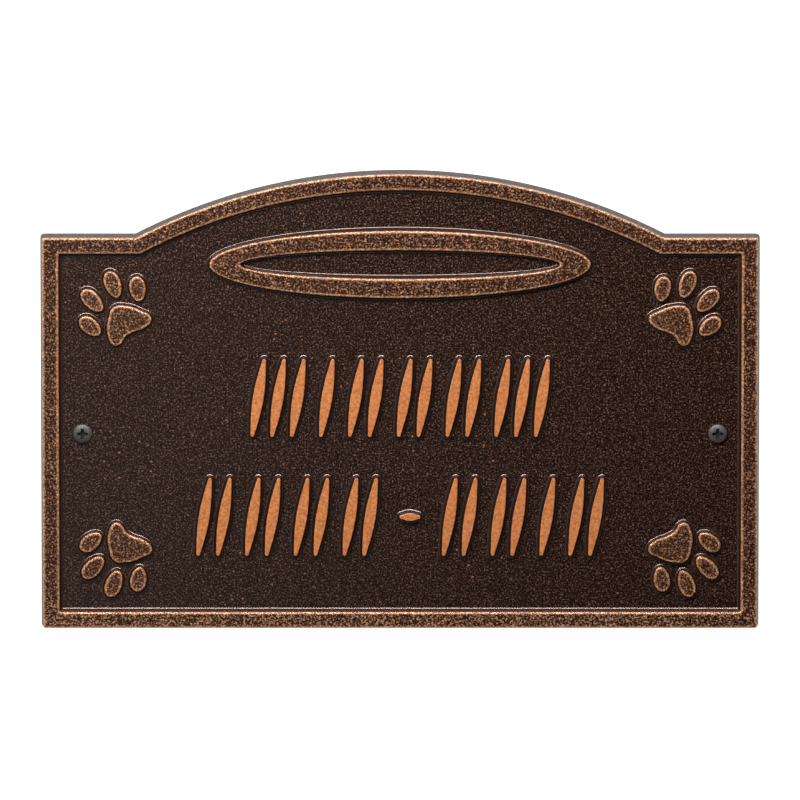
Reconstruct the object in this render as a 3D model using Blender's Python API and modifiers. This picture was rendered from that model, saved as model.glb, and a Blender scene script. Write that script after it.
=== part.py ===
# Flat memorial marker: one cast-metal plate with a raised border, a halo ring, four paw prints and
# two rows of plain raised strokes, held by two cross-recessed screws.
# It lies face up: +X runs along the rows, +Y to the arched top, +Z out of the face.
# The back is at z = 0, under the middle of the marker's overall box.

from math import atan2, cos, degrees, pi, radians, sin, sqrt

import bmesh
import bpy

MM = 0.001

# The plate: a rectangle whose top edge rises in an arch between two flat shoulders
WIDTH = 304.8 * MM
SIDE_HEIGHT = 169.6 * MM
ARCH_RISE = 27.3 * MM
SHOULDER_LENGTH = 40.4 * MM
FIELD_THICKNESS = 5.0 * MM
FOOT_LAND = 1.0 * MM
EDGE_DRAFT = 0.8 * MM
EDGE_CORNER_RADIUS = 0.6 * MM

# The raised border round the field
BORDER_WIDTH = 6.9 * MM
BORDER_RISE = 3.0 * MM
FIELD_CORNER_RADIUS = 0.4 * MM

# Walls that rise from the field lean back by the draft and end in a rounded rim
WALL_DRAFT = 0.9 * MM
RIM_RADIUS = 0.7 * MM

# The halo: a flat ring between two ellipses, measured across its rims
HALO_BELOW_APEX = 39.55 * MM
HALO_LENGTH = 161.4 * MM
HALO_HEIGHT = 28.9 * MM
HALO_BAND_AT_ENDS = 13.0 * MM
HALO_BAND_AT_MIDDLE = 8.3 * MM
HALO_RISE = 3.0 * MM

# A paw print, measured across its rims, drawn with its toes towards its own +Y
PAW_RISE = 2.3 * MM
PAW_FROM_SIDE = 36.5 * MM
PAW_FROM_SHOULDER = 38.1 * MM
PAW_FROM_FOOT = 36.9 * MM
PAW_LEAN = 36.5
PAD_WIDTH = 20.4 * MM
PAD_LENGTH = 14.2 * MM
# A pad's outline, from its front round the near side, as shares of half its width and of its length
PAD_SHAPE = (
    (0.0, 0.63),
    (0.50, 0.43),
    (0.83, 0.10),
    (1.01, -0.21),
    (0.86, -0.37),
    (0.42, -0.405),
    (0.0, -0.325),
    (-0.27, -0.30),
    (-0.66, -0.385),
    (-0.94, -0.295),
    (-0.90, 0.08),
    (-0.52, 0.42),
)
TOE_WIDTH = 6.8 * MM
TOE_TAPER = 0.12
INNER_TOE_LENGTH = 12.0 * MM
INNER_TOE_ACROSS = 5.6 * MM
OUTER_TOE_LENGTH = 10.8 * MM
OUTER_TOE_ACROSS = 12.9 * MM
# The toes fan out unevenly, so the near side's toe comes first in each pair; turns are in degrees
INNER_TOES_AHEAD = (17.2 * MM, 16.8 * MM)
OUTER_TOES_AHEAD = (9.45 * MM, 8.5 * MM)
INNER_TOE_TURNS = (-17.0, 7.0)
OUTER_TOE_TURNS = (-28.0, 14.0)

# The inscription's place holds rows of leaning spindle strokes, which are no letters or figures
UPPER_ROW_FROM_FOOT = 100.0 * MM
LOWER_ROW_FROM_FOOT = 48.7 * MM
STROKE_RISE = 3.0 * MM
STROKE_DRAFT = 1.1 * MM
STROKE_RIM = 0.35 * MM
STROKE_LENGTH = 34.0 * MM
STROKE_WIDTH = 4.6 * MM
STROKE_TIP_WIDTH = 1.6 * MM
STROKE_PITCH = 8.4 * MM
STROKE_LEAN = 9.0
DASH_LENGTH = 9.0 * MM
DASH_WIDTH = 3.4 * MM
GROUP_GAP = 7.7 * MM
DASH_GAP = 10.1 * MM
# Strokes in each group of a row, from left to right; DASH is a short level stroke
DASH = 0
UPPER_ROW_COUNTS = (3, 1, 2, 2, 2, 3)
LOWER_ROW_COUNTS = (2, 2, 2, 2, DASH, 2, 2, 1, 2)

# The screws, in plain holes close to mid-height of the straight sides
SCREW_FROM_SIDE = 17.7 * MM
SCREW_BELOW_MIDDLE = 0.4 * MM
HEAD_DIAMETER = 8.1 * MM
HEAD_RISE = 2.1 * MM
HEAD_EDGE = 0.9 * MM
SHANK_DIAMETER = 4.2 * MM
SHANK_GAP = 0.4 * MM
SEAT_GAP = 0.3 * MM
SHANK_ABOVE_BACK = 0.6 * MM
CROSS_SPAN = 4.8 * MM
CROSS_SLOT = 1.1 * MM
CROSS_DEPTH = 1.2 * MM
CROSS_DRAFT = 0.3 * MM

# How finely round stretches are drawn
CORNER_STEPS = 3
ARCH_STEPS = 44
HALO_STEPS = 96
TOE_STEPS = 16
PAD_STEPS = 3
STROKE_STEPS = 8
RIM_STEPS = 2
SCREW_STEPS = 24
DOME_STEPS = 4

# How far a shape reaches into what it is joined to, or past what it is cut from
SINK = 1.0 * MM
WELD = 0.00001

# Worked out from the sizes above
FOOT_Y = -(SIDE_HEIGHT + ARCH_RISE) / 2
SHOULDER_Y = FOOT_Y + SIDE_HEIGHT
APEX_Y = SHOULDER_Y + ARCH_RISE
ARCH_HALF_CHORD = WIDTH / 2 - SHOULDER_LENGTH
ARCH_RADIUS = (ARCH_HALF_CHORD**2 + ARCH_RISE**2) / (2 * ARCH_RISE)
ARCH_CENTRE_Y = APEX_Y - ARCH_RADIUS
BORDER_TOP_Z = FIELD_THICKNESS + BORDER_RISE
SCREW_X = WIDTH / 2 - SCREW_FROM_SIDE
SCREW_Y = FOOT_Y + SIDE_HEIGHT / 2 - SCREW_BELOW_MIDDLE
HEAD_TOP_Z = FIELD_THICKNESS + SEAT_GAP + HEAD_RISE


def collection(name):
    made = bpy.data.collections.new(name)
    bpy.context.scene.collection.children.link(made)
    return made


def material(name, colour, roughness, metallic):
    made = bpy.data.materials.new(name)
    made.use_nodes = True
    shader = made.node_tree.nodes["Principled BSDF"]
    shader.inputs["Base Color"].default_value = (*colour, 1)
    shader.inputs["Roughness"].default_value = roughness
    shader.inputs["Metallic"].default_value = metallic
    made.diffuse_color = (*colour, 1)
    return made


# Outlines, each a closed list of (x, y) points


def arc(centre_x, centre_y, radius, start, end, steps):
    """Points along a circle's arc, from one angle in degrees to another."""
    turns = [radians(start + (end - start) * i / steps) for i in range(steps + 1)]
    return [(centre_x + radius * cos(t), centre_y + radius * sin(t)) for t in turns]


def turned(points, angle):
    c, s = cos(radians(angle)), sin(radians(angle))
    return [(c * x - s * y, s * x + c * y) for x, y in points]


def moved(points, across, up):
    return [(x + across, y + up) for x, y in points]


def both_sides(right):
    """The right half of an outline with its mirror image, joined at the top of the middle line."""
    return right + [(-x, y) for x, y in reversed(right[:-1])]


def plate_outline(inset, corner):
    """The plate's outline, moved in by inset all round, with the given corner radius."""
    side = WIDTH / 2 - inset
    foot = FOOT_Y + inset
    shoulder = SHOULDER_Y - inset
    arch = ARCH_RADIUS - inset
    shoulder_rise = shoulder - ARCH_CENTRE_Y
    arch_start = degrees(atan2(shoulder_rise, sqrt(arch**2 - shoulder_rise**2)))
    right = arc(side - corner, foot + corner, corner, -90, 0, CORNER_STEPS)
    right += arc(side - corner, shoulder - corner, corner, 0, 90, CORNER_STEPS)
    right += arc(0, ARCH_CENTRE_Y, arch, arch_start, 90, ARCH_STEPS // 2)
    return both_sides(right)


def ellipse(centre_y, half_length, half_height):
    turns = [2 * pi * i / HALO_STEPS for i in range(HALO_STEPS)]
    return [(half_length * cos(t), centre_y + half_height * sin(t)) for t in turns]


def halo_rings():
    """The ring's skin as (outline, z) pairs: up the outer wall, over the face, down the inner wall."""
    middle = APEX_Y - HALO_BELOW_APEX
    outer_length, outer_height = HALO_LENGTH / 2, HALO_HEIGHT / 2
    inner_length, inner_height = outer_length - HALO_BAND_AT_ENDS, outer_height - HALO_BAND_AT_MIDDLE
    inset, z = -WALL_DRAFT, 0
    levels = [(inset, -SINK), (inset, z)]
    for step, rise in rise_steps(HALO_RISE, WALL_DRAFT, RIM_RADIUS):
        inset, z = inset + step, z + rise
        levels.append((inset, z))
    outer = [(ellipse(middle, outer_length - d, outer_height - d), z) for d, z in levels]
    inner = [(ellipse(middle, inner_length + d, inner_height + d), z) for d, z in levels]
    return outer + inner[::-1]


def pad_outline():
    """The knots of a pad's outline at the field, front first."""
    half_width = PAD_WIDTH / 2 + WALL_DRAFT
    length = PAD_LENGTH + 2 * WALL_DRAFT
    return [(half_width * x, length * y) for x, y in PAD_SHAPE]


def toe_outline(across, ahead, length, turn):
    """An egg at the field, a little narrower towards the pad."""
    points = []
    for i in range(TOE_STEPS):
        t = 2 * pi * i / TOE_STEPS
        half_width = (TOE_WIDTH / 2 + WALL_DRAFT) * (1 + TOE_TAPER * cos(t))
        points.append((half_width * sin(t), (length / 2 + WALL_DRAFT) * cos(t)))
    return moved(turned(points, turn), across, ahead)


def stroke_outline(length, width):
    """A spindle at the field: two bowed sides between blunt tips."""
    half_length = length / 2 + STROKE_DRAFT
    half_width = width / 2 + STROKE_DRAFT
    half_tip = STROKE_TIP_WIDTH / 2 + STROKE_DRAFT
    right = []
    for i in range(STROKE_STEPS + 1):
        t = i / STROKE_STEPS
        right.append((half_tip + (half_width - half_tip) * sin(pi * t), half_length * (2 * t - 1)))
    return right + [(-x, y) for x, y in reversed(right)]


def row_strokes(row, row_y):
    """The outlines of a row's strokes, the row centred on the middle line."""
    lengths = [DASH_LENGTH if n == DASH else (n - 1) * STROKE_PITCH + STROKE_WIDTH for n in row]
    gaps = [DASH_GAP if DASH in pair else GROUP_GAP for pair in zip(row, row[1:])]
    start = -(sum(lengths) + sum(gaps)) / 2
    outlines = []
    for count, length, gap in zip(row, lengths, gaps + [0]):
        if count == DASH:
            dash = turned(stroke_outline(DASH_LENGTH, DASH_WIDTH), 90)
            outlines.append(moved(dash, start + length / 2, row_y))
        for i in range(count):
            stroke = turned(stroke_outline(STROKE_LENGTH, STROKE_WIDTH), -STROKE_LEAN)
            outlines.append(moved(stroke, start + STROKE_WIDTH / 2 + i * STROKE_PITCH, row_y))
        start += length + gap
    return outlines


# Walls, each a list of (inset, rise) steps


def round_steps(radius):
    """A quarter round that begins upright and ends level."""
    turns = [pi / 2 * i / RIM_STEPS for i in range(RIM_STEPS + 1)]
    places = [(radius * (1 - cos(t)), radius * sin(t)) for t in turns]
    return [(b[0] - a[0], b[1] - a[1]) for a, b in zip(places, places[1:])]


def rise_steps(rise, draft, rim):
    """A leaning wall, then the rounded rim above it."""
    return [(draft, rise - rim)] + round_steps(rim)


def hollow_steps(depth, draft, rim):
    """A hollow from its mouth down: the rounded rim, then the leaning wall."""
    return [(down, across) for across, down in round_steps(rim)] + [(draft, depth - rim)]


# Solids


def filled(name, outlines, smooth):
    """A slab SINK thick between the outlines, from a filled 2D curve."""
    curve = bpy.data.curves.new(name, "CURVE")
    curve.dimensions = "2D"
    curve.fill_mode = "BOTH"
    curve.extrude = SINK / 2
    for outline in outlines:
        spline = curve.splines.new("BEZIER" if smooth else "POLY")
        knots = spline.bezier_points if smooth else spline.points
        knots.add(len(outline) - 1)
        for knot, (x, y) in zip(knots, outline):
            knot.co = (x, y, 0) if smooth else (x, y, 0, 1)
            if smooth:
                knot.handle_left_type = "AUTO"
                knot.handle_right_type = "AUTO"
        spline.resolution_u = PAD_STEPS
        spline.use_cyclic_u = True
    drawn = bpy.data.objects.new(name, curve)
    bpy.context.scene.collection.objects.link(drawn)
    seen = drawn.evaluated_get(bpy.context.evaluated_depsgraph_get())
    mesh = bpy.data.meshes.new_from_object(seen)
    bpy.data.objects.remove(drawn)
    bpy.data.curves.remove(curve)
    return mesh


def raised(name, group, outlines, foot_z, steps, smooth=False):
    """A solid sunk by SINK below foot_z, its filled outlines carried in and up by each step."""
    mesh = filled(name, outlines, smooth)
    shape = bmesh.new()
    shape.from_mesh(mesh)
    bmesh.ops.remove_doubles(shape, verts=shape.verts, dist=WELD)
    bmesh.ops.recalc_face_normals(shape, faces=shape.faces)
    for side in (-1, 1):
        cap = [face for face in shape.faces if all(vert.co.z * side > 0 for vert in face.verts)]
        top = bmesh.ops.dissolve_faces(shape, faces=cap)["region"]
    for inset, rise in steps:
        bmesh.ops.inset_region(shape, faces=top, thickness=inset, depth=rise, use_even_offset=True)
    bmesh.ops.translate(shape, verts=shape.verts, vec=(0, 0, -SINK / 2))
    shape.to_mesh(mesh)
    shape.free()
    made = bpy.data.objects.new(name, mesh)
    made.location.z = foot_z
    group.objects.link(made)
    return made


def banded(name, group, rings, foot_z):
    """A closed band: a loft from each ring of points to the next, and from the last to the first."""
    shape = bmesh.new()
    loops = [[shape.verts.new((x, y, z)) for x, y in outline] for outline, z in rings]
    for near, far in zip(loops, loops[1:] + loops[:1]):
        for i in range(len(near)):
            shape.faces.new((near[i - 1], near[i], far[i], far[i - 1]))
    bmesh.ops.recalc_face_normals(shape, faces=shape.faces)
    mesh = bpy.data.meshes.new(name)
    shape.to_mesh(mesh)
    shape.free()
    made = bpy.data.objects.new(name, mesh)
    made.location.z = foot_z
    group.objects.link(made)
    return made


def guide(made):
    """Marks a shape that only cuts or joins."""
    made.hide_render = True
    made.display_type = "WIRE"
    return made


def boolean(made, operation, group):
    cut = made.modifiers.new(operation.title(), "BOOLEAN")
    cut.operation = operation
    cut.operand_type = "COLLECTION"
    cut.collection = group
    cut.solver = "EXACT"


def make_relief(group):
    """The halo, the paw prints and the strokes, all standing on the field."""
    guide(banded("halo_form", group, halo_rings(), FIELD_THICKNESS))
    for side, side_name in ((-1, "left"), (1, "right")):
        make_paw(group, "upper_" + side_name, side, 1)
        make_paw(group, "lower_" + side_name, side, -1)
    rows = row_strokes(UPPER_ROW_COUNTS, FOOT_Y + UPPER_ROW_FROM_FOOT)
    rows += row_strokes(LOWER_ROW_COUNTS, FOOT_Y + LOWER_ROW_FROM_FOOT)
    stroke_steps = rise_steps(STROKE_RISE, STROKE_DRAFT, STROKE_RIM)
    for number, outline in enumerate(rows, 1):
        name = f"stroke_form_{number:02d}"
        guide(raised(name, group, [outline], FIELD_THICKNESS, stroke_steps))


def make_paw(group, name, side, end):
    """A pad and its toes, pointing to the corner on the given side and end."""
    x = side * (WIDTH / 2 - PAW_FROM_SIDE)
    y = SHOULDER_Y - PAW_FROM_SHOULDER if end > 0 else FOOT_Y + PAW_FROM_FOOT
    steps = rise_steps(PAW_RISE, WALL_DRAFT, RIM_RADIUS)
    forms = [("pad", pad_outline(), True)]
    for sign, ahead, turn in zip((1, -1), INNER_TOES_AHEAD, INNER_TOE_TURNS):
        toe = toe_outline(sign * INNER_TOE_ACROSS, ahead, INNER_TOE_LENGTH, turn)
        forms.append((f"inner_toe_{sign}", toe, False))
    for sign, ahead, turn in zip((1, -1), OUTER_TOES_AHEAD, OUTER_TOE_TURNS):
        toe = toe_outline(sign * OUTER_TOE_ACROSS, ahead, OUTER_TOE_LENGTH, turn)
        forms.append((f"outer_toe_{sign}", toe, False))
    for form, outline, smooth in forms:
        leaning = turned(outline, PAW_LEAN)
        placed = [(x - side * px, y + end * py) for px, py in leaning]
        form_name = f"{name}_{form}"
        guide(raised(form_name, group, [placed], FIELD_THICKNESS, steps, smooth))


def make_hollows(group):
    """What is cut from the plate: the field inside the border, and the screw holes."""
    mouth = EDGE_DRAFT + BORDER_WIDTH - RIM_RADIUS
    corner = FIELD_CORNER_RADIUS + RIM_RADIUS + WALL_DRAFT
    steps = hollow_steps(BORDER_RISE, WALL_DRAFT, RIM_RADIUS)
    field = raised("field_form", group, [plate_outline(mouth, corner)], BORDER_TOP_Z, steps)
    field.rotation_euler.y = pi
    guide(field)
    for side, side_name in ((-1, "left"), (1, "right")):
        bpy.ops.mesh.primitive_cylinder_add(
            vertices=SCREW_STEPS,
            radius=SHANK_DIAMETER / 2 + SHANK_GAP,
            depth=FIELD_THICKNESS + 2 * SINK,
            location=(side * SCREW_X, SCREW_Y, FIELD_THICKNESS / 2),
        )
        hole = bpy.context.object
        hole.name = side_name + "_hole_form"
        for owner in hole.users_collection:
            owner.objects.unlink(hole)
        group.objects.link(hole)
        guide(hole)


def make_plaque(group, coat, hollows, relief):
    corner = EDGE_CORNER_RADIUS + EDGE_DRAFT + RIM_RADIUS
    steps = rise_steps(BORDER_TOP_Z - FOOT_LAND, EDGE_DRAFT, RIM_RADIUS)
    slab = plate_outline(0, corner)
    plaque = raised("plaque", group, [slab], FOOT_LAND, steps)
    boolean(plaque, "DIFFERENCE", hollows)
    boolean(plaque, "UNION", relief)
    plaque.data.materials.append(coat)


def screw_profile():
    """Half of the screw's section from the middle of its domed head down to its shank's end."""
    head = HEAD_DIAMETER / 2
    shank = SHANK_DIAMETER / 2
    under = FIELD_THICKNESS + SEAT_GAP
    dome = HEAD_RISE - HEAD_EDGE
    turns = [pi / 2 * i / DOME_STEPS for i in range(DOME_STEPS + 1)]
    points = [(head * sin(t), under + HEAD_EDGE + dome * cos(t)) for t in turns]
    return points + [(head, under), (shank, under), (shank, SHANK_ABOVE_BACK), (0, SHANK_ABOVE_BACK)]


def cross_outline():
    """The mouth of the cross recess: a slot along X and one along Y."""
    reach, half = CROSS_SPAN / 2, CROSS_SLOT / 2
    points = []
    for quarter in range(4):
        points += turned([(reach, -half), (reach, half), (half, half)], 90 * quarter)
    return points


def make_screw(group, cutters, steel, name, x):
    profile = screw_profile()
    mesh = bpy.data.meshes.new(name)
    mesh.from_pydata([(r, 0, z) for r, z in profile], [(i, i + 1) for i in range(len(profile) - 1)], [])
    screw = bpy.data.objects.new(name, mesh)
    group.objects.link(screw)
    screw.location = (x, SCREW_Y, 0)
    turn = screw.modifiers.new("Turn", "SCREW")
    turn.steps = turn.render_steps = SCREW_STEPS
    turn.use_merge_vertices = True
    turn.merge_threshold = WELD
    steps = [(CROSS_DRAFT, CROSS_DEPTH)]
    recess = raised(name + "_recess", cutters, [cross_outline()], HEAD_TOP_Z, steps)
    recess.rotation_euler.y = pi
    recess.location.x, recess.location.y = x, SCREW_Y
    cut = screw.modifiers.new("Recess", "BOOLEAN")
    cut.object = guide(recess)
    cut.solver = "EXACT"
    mesh.materials.append(steel)


def build():
    for old in list(bpy.data.objects):
        bpy.data.objects.remove(old)
    marker = collection("flat_memorial_marker")
    hollows = collection("hollow_forms")
    relief = collection("relief_forms")
    recesses = collection("recess_forms")
    coat = material("dark_copper_coat", (0.034, 0.019, 0.014), 0.45, 0.6)
    steel = material("dull_screw_steel", (0.14, 0.13, 0.12), 0.5, 1.0)
    make_hollows(hollows)
    make_relief(relief)
    make_plaque(marker, coat, hollows, relief)
    make_screw(marker, recesses, steel, "left_screw", -SCREW_X)
    make_screw(marker, recesses, steel, "right_screw", SCREW_X)


build()
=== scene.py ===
# %% [markdown]
# A flat memorial marker is one metal casting: a plate with a raised border, a halo ring, four
# paw prints and rows of raised strokes. The foundry coats it all in dark bronze enamel, rubs
# copper onto what stands up, and paints the strokes' faces in a clean copper colour. Two pan
# head screws hold it. The lesson draws the casting's skin ring by ring, fills the flats between,
# makes the screws, and then builds each finish from noise at its real size.

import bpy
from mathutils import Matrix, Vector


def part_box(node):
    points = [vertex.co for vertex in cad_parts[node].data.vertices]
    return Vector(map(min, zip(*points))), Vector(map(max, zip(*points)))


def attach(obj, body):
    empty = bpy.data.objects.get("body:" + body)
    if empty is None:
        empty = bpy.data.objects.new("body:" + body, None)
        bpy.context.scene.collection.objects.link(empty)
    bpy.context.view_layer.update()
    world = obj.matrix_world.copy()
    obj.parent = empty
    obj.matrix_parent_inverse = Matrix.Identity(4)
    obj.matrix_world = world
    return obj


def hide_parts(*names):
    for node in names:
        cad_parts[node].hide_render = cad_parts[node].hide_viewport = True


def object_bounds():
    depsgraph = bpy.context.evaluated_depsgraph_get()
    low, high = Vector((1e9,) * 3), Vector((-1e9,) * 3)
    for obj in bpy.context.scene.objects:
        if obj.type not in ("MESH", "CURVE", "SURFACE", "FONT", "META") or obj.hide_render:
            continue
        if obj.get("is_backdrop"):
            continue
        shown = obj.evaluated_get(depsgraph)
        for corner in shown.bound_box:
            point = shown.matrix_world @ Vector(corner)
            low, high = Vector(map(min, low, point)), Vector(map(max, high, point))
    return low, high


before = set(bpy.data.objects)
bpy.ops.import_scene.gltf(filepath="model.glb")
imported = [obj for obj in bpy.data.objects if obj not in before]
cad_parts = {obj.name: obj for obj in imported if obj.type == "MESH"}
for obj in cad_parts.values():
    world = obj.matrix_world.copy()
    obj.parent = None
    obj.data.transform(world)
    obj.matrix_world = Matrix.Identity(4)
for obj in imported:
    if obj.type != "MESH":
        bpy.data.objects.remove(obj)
cad_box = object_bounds()
print("CAD nodes", sorted(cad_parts))

# %% Blender's tools for the lesson
from math import atan2, cos, degrees, pi, radians, sin, sqrt

import bmesh
import bpy
from mathutils import Vector

MM = 0.001
print("Blender", bpy.app.version_string)

# %% [markdown]
# The sizes are the real marker's, in millimetres, the same ones that the part's source uses.
# Places such as the field's height or a screw's middle are worked out from them or read from
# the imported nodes, so nothing here is placed by eye.

# %% The plate's driving sizes
WIDTH = 304.8 * MM
SIDE_HEIGHT = 169.6 * MM
ARCH_RISE = 27.3 * MM
SHOULDER_LENGTH = 40.4 * MM
FIELD_Z = 5.0 * MM
RELIEF_RISE = 3.0 * MM
EDGE_DRAFT = 0.8 * MM
FOOT_LAND = 1.0 * MM
BACK_ROUND = 0.4 * MM
BORDER_WIDTH = 6.9 * MM
FOOT_Y = -(SIDE_HEIGHT + ARCH_RISE) / 2
SHOULDER_Y = FOOT_Y + SIDE_HEIGHT
APEX_Y = SHOULDER_Y + ARCH_RISE
ARCH_HALF_CHORD = WIDTH / 2 - SHOULDER_LENGTH
ARCH_RADIUS = (ARCH_HALF_CHORD**2 + ARCH_RISE**2) / (2 * ARCH_RISE)
ARCH_CENTRE_Y = APEX_Y - ARCH_RADIUS
plaque_low, plaque_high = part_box("plaque")
print("plaque width", round((plaque_high.x - plaque_low.x) / MM, 2), "mm")

# %% [markdown]
# Everything on the field rises in the same way, as it does in a sand casting. A small fillet
# turns up from the field, a wall leans back so that the pattern could be drawn from the sand,
# and a rounded rim turns over to the flat face. One helper gives that section as a list of
# stations: how far out from the rim's outer edge, how high, and how far along the surface from
# that edge. The last number goes onto the mesh as an attribute, and the finishes read it later
# to tell the rim, the wall and the fillet apart. Two numbers below all of these stand for the
# open field and for the plate's side and back.

# %% One section for every raised form
BEND_STEPS = 5
# A loop this far past a bend keeps its smooth shading off the flat
SUPPORT = 0.25 * MM
OPEN_FIELD = -5.0 * MM
PLATE_SIDE = -9.0 * MM


def rise(height, wall_angle, foot_radius, rim_radius):
    """Stations (out, up, along) from the field's foot to the flat face, all in metres."""
    lean = radians(wall_angle)
    slope = (height - (foot_radius + rim_radius) * (1 - cos(lean))) / sin(lean)
    foot_out = slope * cos(lean) + foot_radius * sin(lean)
    stations = [(foot_out + SUPPORT, 0, OPEN_FIELD)]
    for step in range(BEND_STEPS + 1):
        turn = lean * step / BEND_STEPS
        up = foot_radius * (1 - cos(turn))
        stations.append((foot_out - foot_radius * sin(turn), up, -slope - foot_radius * (lean - turn)))
    for step in range(BEND_STEPS + 1):
        turn = lean * (1 - step / BEND_STEPS)
        out = rim_radius * (sin(turn) - sin(lean))
        stations.append((out, height - rim_radius * (1 - cos(turn)), rim_radius * (lean - turn)))
    edge_out, edge_up, edge_along = stations[-1]
    stations.append((edge_out - SUPPORT, edge_up, edge_along + SUPPORT))
    return stations


BORDER_SECTION = rise(RELIEF_RISE, 66, 0.8 * MM, 1.0 * MM)
HALO_SECTION = rise(RELIEF_RISE, 67, 0.6 * MM, 0.8 * MM)
STROKE_SECTION = rise(RELIEF_RISE, 73, 0.9 * MM, 0.35 * MM)
PAW_SECTION = rise(2.3 * MM, 66, 0.6 * MM, 0.8 * MM)
print("border foot reaches out", round(BORDER_SECTION[1][0] / MM, 2), "mm")

# %% [markdown]
# Each form's skin is a chain of rings with the same number of points. By hand it would start
# from a circle, and its edge would be extruded and moved again and again. The helper does the
# same: a circle is added, its points are laid on the first outline, and each extruded loop is
# laid on the next. A number kept on each point says where along the outline it belongs, and
# the extrude carries it to the new loop.

# %% Name the casting's finishes
COAT, RUBBED, PAINTED = 0, 1, 2
FINISH_NAMES = ("bronze_enamel_coat", "copper_rubbed_relief", "copper_painted_strokes")
finishes = [bpy.data.materials.new(name) for name in FINISH_NAMES]
print("finishes", FINISH_NAMES)


# %% Draw a skin ring by ring
START_RADIUS = 10 * MM


def skin(name, rings, capped):
    """rings are (outline, z, along, finish) tuples; the last ring is closed if capped."""
    bpy.ops.object.select_all(action="DESELECT")
    bpy.ops.mesh.primitive_circle_add(vertices=len(rings[0][0]), radius=START_RADIUS)
    made = bpy.context.object
    made.name = made.data.name = name
    for finish in finishes:
        made.data.materials.append(finish)
    bpy.ops.object.mode_set(mode="EDIT")
    bpy.ops.mesh.select_all(action="SELECT")
    shape = bmesh.from_edit_mesh(made.data)
    shape.verts.layers.int.new("place")
    shape.verts.layers.float.new("rim_mm")
    for number, vert in enumerate(shape.verts):
        vert[shape.verts.layers.int["place"]] = number
    for number, (outline, z, along, finish) in enumerate(rings):
        if number:
            bpy.ops.mesh.extrude_region_move()
        shape = bmesh.from_edit_mesh(made.data)
        place = shape.verts.layers.int["place"]
        rim = shape.verts.layers.float["rim_mm"]
        for vert in shape.verts:
            if vert.select:
                vert.co = (*outline[vert[place]], z)
                vert[rim] = along / MM
        for edge in shape.edges:
            if edge.select:
                for face in edge.link_faces:
                    face.material_index = finish
        bmesh.update_edit_mesh(made.data)
    if capped:
        bpy.ops.mesh.edge_face_add()
        shape = bmesh.from_edit_mesh(made.data)
        for face in shape.faces:
            if len(face.verts) > 4:
                face.material_index = rings[-1][3]
        bmesh.update_edit_mesh(made.data)
    bpy.ops.object.mode_set(mode="OBJECT")
    made.data.attributes.remove(made.data.attributes["place"])
    return made


# %% Outline helpers


def arc(centre_x, centre_y, radius, start, end, steps):
    """Points along a circle's arc, from one angle in degrees to another."""
    turns = [radians(start + (end - start) * i / steps) for i in range(steps + 1)]
    return [(centre_x + radius * cos(t), centre_y + radius * sin(t)) for t in turns]


def between(start, end, parts):
    """The points that cut a straight stretch into equal parts, without its two ends."""
    shares = [i / parts for i in range(1, parts)]
    return [(start[0] + (end[0] - start[0]) * s, start[1] + (end[1] - start[1]) * s) for s in shares]


def turned(points, angle):
    c, s = cos(radians(angle)), sin(radians(angle))
    return [(c * x - s * y, s * x + c * y) for x, y in points]


def moved(points, across, up):
    return [(x + across, y + up) for x, y in points]


def grown(points, distance):
    """The outline moved out by distance, each point along the outline's own normal."""
    area = sum(a[0] * b[1] - b[0] * a[1] for a, b in zip(points, points[1:] + points[:1]))
    outward = distance if area > 0 else -distance
    result = []
    for i, (x, y) in enumerate(points):
        ahead, behind = points[(i + 1) % len(points)], points[i - 1]
        along_x, along_y = ahead[0] - behind[0], ahead[1] - behind[1]
        length = sqrt(along_x**2 + along_y**2)
        result.append((x + along_y / length * outward, y - along_x / length * outward))
    return result


# %% [markdown]
# The border is the plate's own outline, a rectangle whose top rises in an arch between two flat
# shoulders. All of its rings are that outline at a different inset, so the side wall, the outer
# rim, the flat top and the inner rim follow from one function. The outline is split into the
# same number of points at each inset, which keeps the quads square across the border.

# %% The plate's outline at any inset
CORNER_STEPS = 6
ARCH_STEPS = 90
SIDE_STEPS = 34
FOOT_STEPS = 30
SHOULDER_STEPS = 8


def plate_outline(inset, corner):
    side = WIDTH / 2 - inset
    foot = FOOT_Y + inset
    shoulder = SHOULDER_Y - inset
    arch = ARCH_RADIUS - inset
    shoulder_rise = shoulder - ARCH_CENTRE_Y
    arch_x = sqrt(arch**2 - shoulder_rise**2)
    arch_start = degrees(atan2(shoulder_rise, arch_x))
    lower = arc(side - corner, foot + corner, corner, -90, 0, CORNER_STEPS)
    upper = arc(side - corner, shoulder - corner, corner, 0, 90, CORNER_STEPS)
    top = arc(0, ARCH_CENTRE_Y, arch, arch_start, 90, ARCH_STEPS // 2)
    right = [(0, foot)] + between((0, foot), lower[0], FOOT_STEPS) + lower
    right += between(lower[-1], upper[0], SIDE_STEPS) + upper
    right += between(upper[-1], top[0], SHOULDER_STEPS) + top
    return right + [(-x, y) for x, y in reversed(right[1:-1])]


# %% The border, from the plate's back to the field
EDGE_CORNER = 1.7 * MM
RIM_ANGLE = atan2(FIELD_Z + RELIEF_RISE - FOOT_LAND, EDGE_DRAFT)
RIM_RADIUS = 0.7 * MM
TOP_Z = FIELD_Z + RELIEF_RISE
# The flat top's corners, and the inner ones, which grow towards the top
TOP_CORNER = 0.5 * MM
MIDDLE_CORNER = 1.1 * MM
INNER_CORNER = 1.6 * MM
CORNER_STEP = 0.12 * MM
SMALLEST_CORNER = 0.3 * MM


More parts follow.
